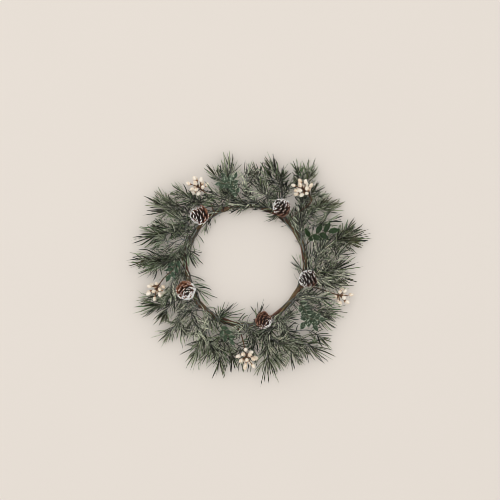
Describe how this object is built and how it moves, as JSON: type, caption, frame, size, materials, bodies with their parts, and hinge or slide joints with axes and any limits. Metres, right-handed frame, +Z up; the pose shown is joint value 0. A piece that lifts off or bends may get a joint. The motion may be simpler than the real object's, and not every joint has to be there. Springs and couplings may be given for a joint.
{
  "type": "candle ring",
  "caption": "Round candle ring of frosted pine sprays, cones, berries and leaves tied on a twisted vine ring.",
  "frame": {"origin": "centre of the ring's overall width and depth, on the surface that it lies on", "axes": "+Z up, out of the table; +Y towards the top of the picture; +X to its right"},
  "size_m": [0.3467, 0.3374, 0.0493],
  "materials": {
    "bark": "matte",
    "pine": "frosted",
    "cone": "snow-tipped",
    "berry": "satin",
    "leaf": "frosted"
  },
  "bodies": {
    "root": {"vine_strand_1": "bark", "vine_strand_2": "bark", "vine_strand_3": "bark", "cone_top_left": "cone", "cone_top": "cone", "cone_left": "cone", "cone_bottom": "cone", "cone_right": "cone", "berries_top_right": "berry", "berries_top_left": "berry", "berries_left": "berry", "berries_bottom": "berry", "berries_right": "berry", "leaves_top": "leaf", "leaves_right": "leaf", "leaves_lower_right": "leaf", "leaves_left": "leaf", "leaves_bottom": "leaf", "pine_right_outer": "pine", "pine_right_mid": "pine", "pine_right_lower": "pine", "pine_right_along": "pine", "pine_top_right_outer": "pine", "pine_top_right_mid": "pine", "pine_top_right_long": "pine", "pine_top_outer_b": "pine", "pine_top_outer_c": "pine", "pine_top_outer_d": "pine", "pine_top_outer_e": "pine", "pine_top_outer_f": "pine", "pine_top_left_outer": "pine", "pine_top_left_mid": "pine", "pine_left_upper": "pine", "pine_left_outer_a": "pine", "pine_left_body": "pine", "pine_left_outer_b": "pine", "pine_left_low": "pine", "pine_lower_left_outer": "pine", "pine_lower_left_b": "pine", "pine_lower_left_body": "pine", "pine_bottom_left_outer": "pine", "pine_bottom_left_b": "pine", "pine_bottom_outer": "pine", "pine_bottom_body": "pine", "pine_bottom_frosted": "pine", "pine_bottom_right_a": "pine", "pine_bottom_right_b": "pine", "pine_lower_right_in": "pine", "pine_lower_right_along": "pine", "pine_lower_right": "pine", "pine_hole_right": "pine", "pine_hole_top_right": "pine", "pine_hole_top": "pine", "pine_hole_top_left": "pine", "pine_hole_left": "pine", "pine_hole_lower_left": "pine", "pine_hole_bottom_left": "pine", "pine_hole_bottom": "pine"}
  },
  "joints": []
}
